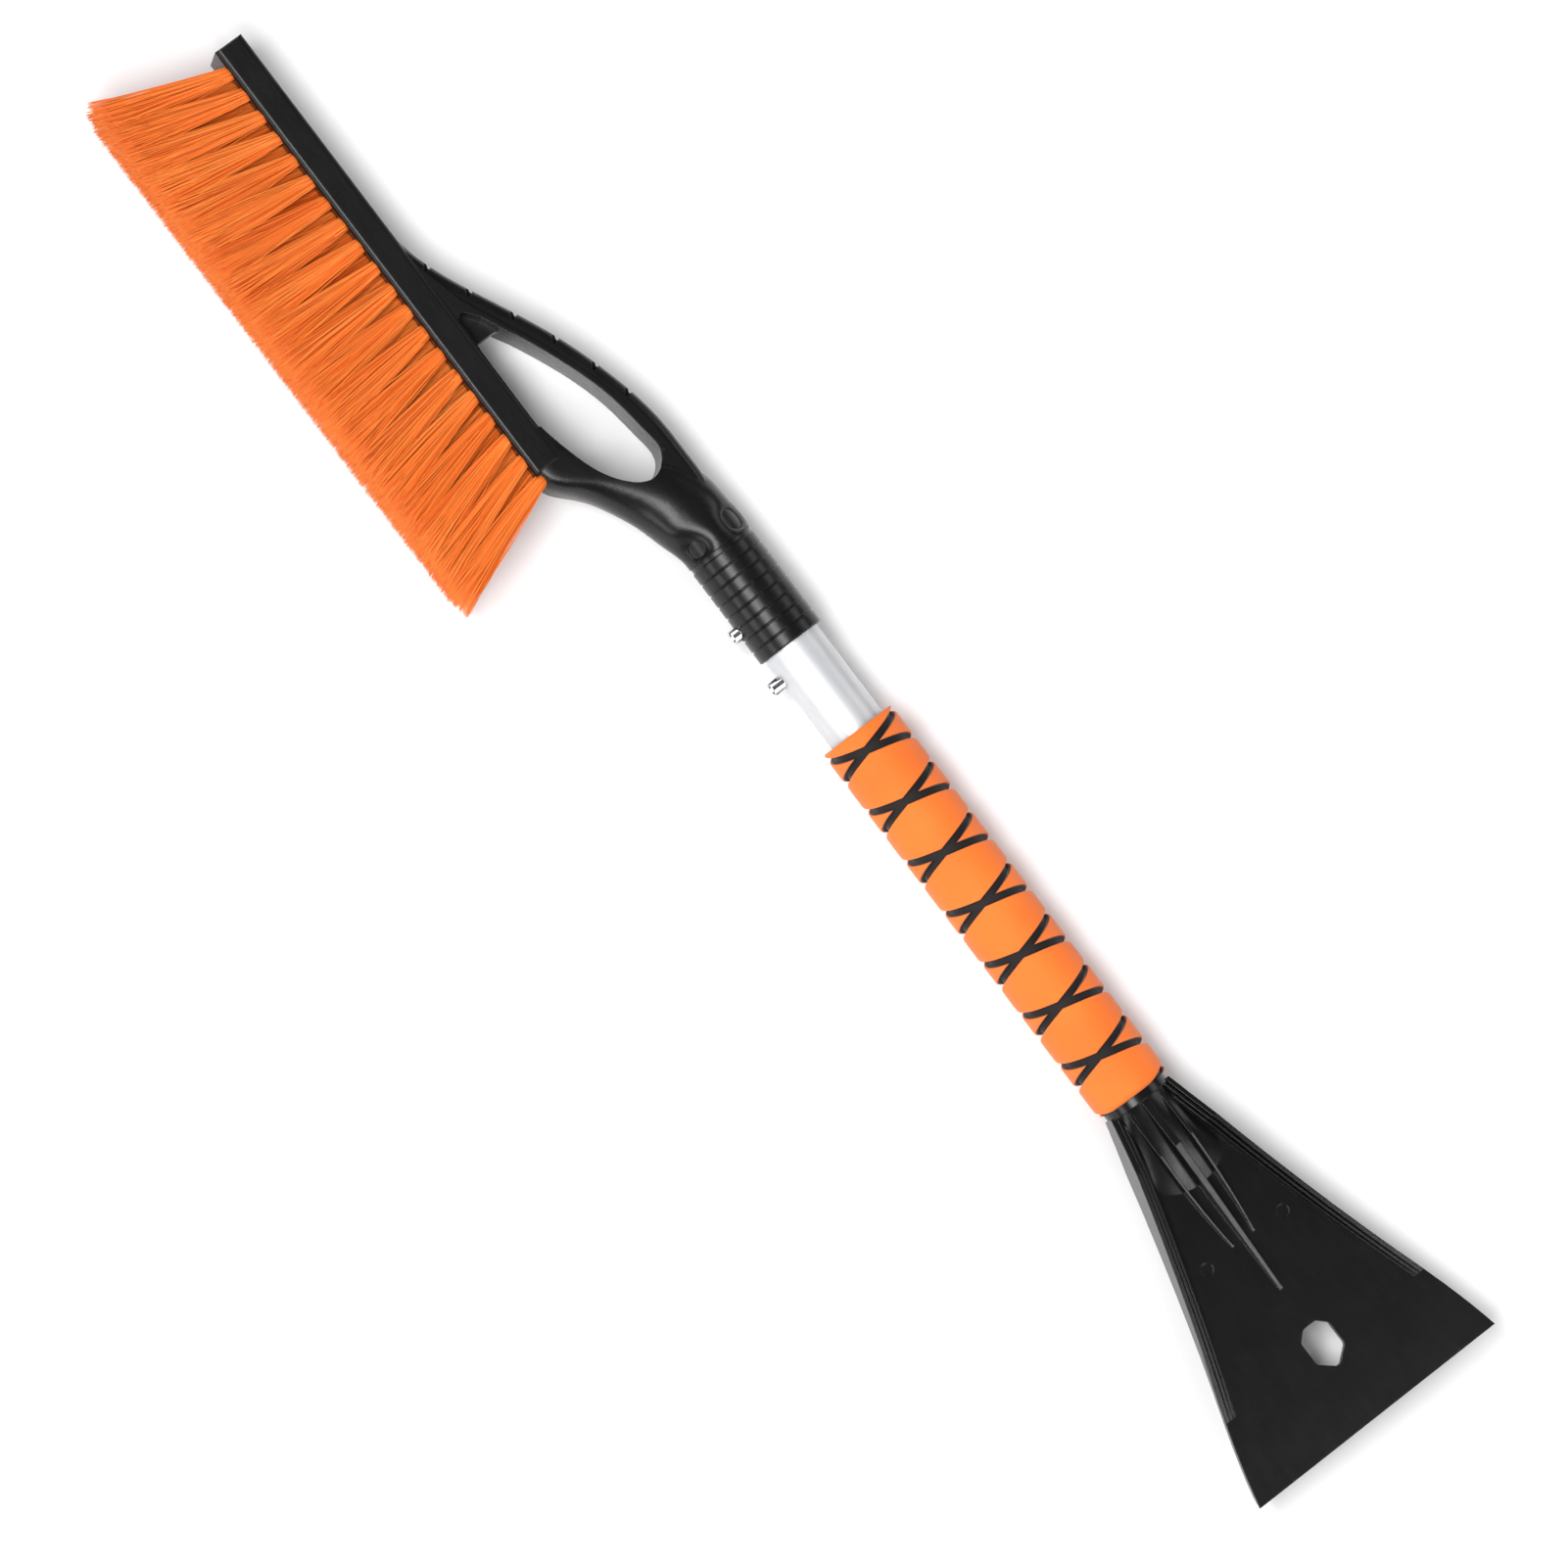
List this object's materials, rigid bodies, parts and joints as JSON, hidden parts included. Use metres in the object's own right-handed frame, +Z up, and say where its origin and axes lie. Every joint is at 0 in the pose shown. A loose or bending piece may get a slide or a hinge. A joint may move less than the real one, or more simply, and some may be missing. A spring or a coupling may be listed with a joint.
{
  "type": "snow brush scraper",
  "caption": "Handheld snow brush with a loop-grip brush head latched on an aluminium tube, a foam grip and an ice scraper blade.",
  "frame": {"origin": "centre of the footprint, on the surface the tool lies on", "axes": "+X along the tube from the brush to the scraper, +Y away from the bristles, +Z up from the broad side it lies on"},
  "size_m": [0.6858, 0.15, 0.032],
  "materials": {
    "black_grip_plastic": "fine moulded grain",
    "black_scraper_plastic": "satin moulded",
    "orange_bristle": "fine drawn filament",
    "orange_foam": "closed-cell foam",
    "black_foam": "closed-cell foam",
    "aluminium": "satin drawn",
    "button_steel": "bright plated",
    "spring_steel": "oiled spring strip",
    "staple_steel": "drawn wire"
  },
  "bodies": {
    "handle": {"handle_tube": "aluminium", "foam_core": "black_foam", "foam_cover": "orange_foam", "scraper_blade": "black_scraper_plastic", "upper_button_spring": "spring_steel", "lower_button_spring": "spring_steel"},
    "brush_head": {"head_frame": "black_grip_plastic", "ribbed_collar": "black_grip_plastic", "tuft_staples": "staple_steel", "tuft_row_1": "orange_bristle", "tuft_row_2": "orange_bristle", "tuft_row_3": "orange_bristle", "tuft_row_4": "orange_bristle"},
    "upper_button": {"upper_button": "button_steel"},
    "lower_button": {"lower_button": "button_steel"}
  },
  "joints": [
    {"name": "head_slide", "type": "slide", "parent": "handle", "child": "brush_head", "axis": [1, 0, 0], "range_m": [-0.045, 0], "deforming": ["upper_button_spring", "lower_button_spring", "upper_button", "lower_button"]},
    {"name": "upper_button_press", "type": "slide", "parent": "handle", "child": "upper_button", "axis": [0, 1, 0], "range_m": [0, 0.0061], "stiffness_N_per_m": 900, "deforming": ["upper_button_spring"]},
    {"name": "lower_button_press", "type": "slide", "parent": "handle", "child": "lower_button", "axis": [0, 1, 0], "range_m": [0, 0.0061], "stiffness_N_per_m": 900, "deforming": ["lower_button_spring"]}
  ]
}
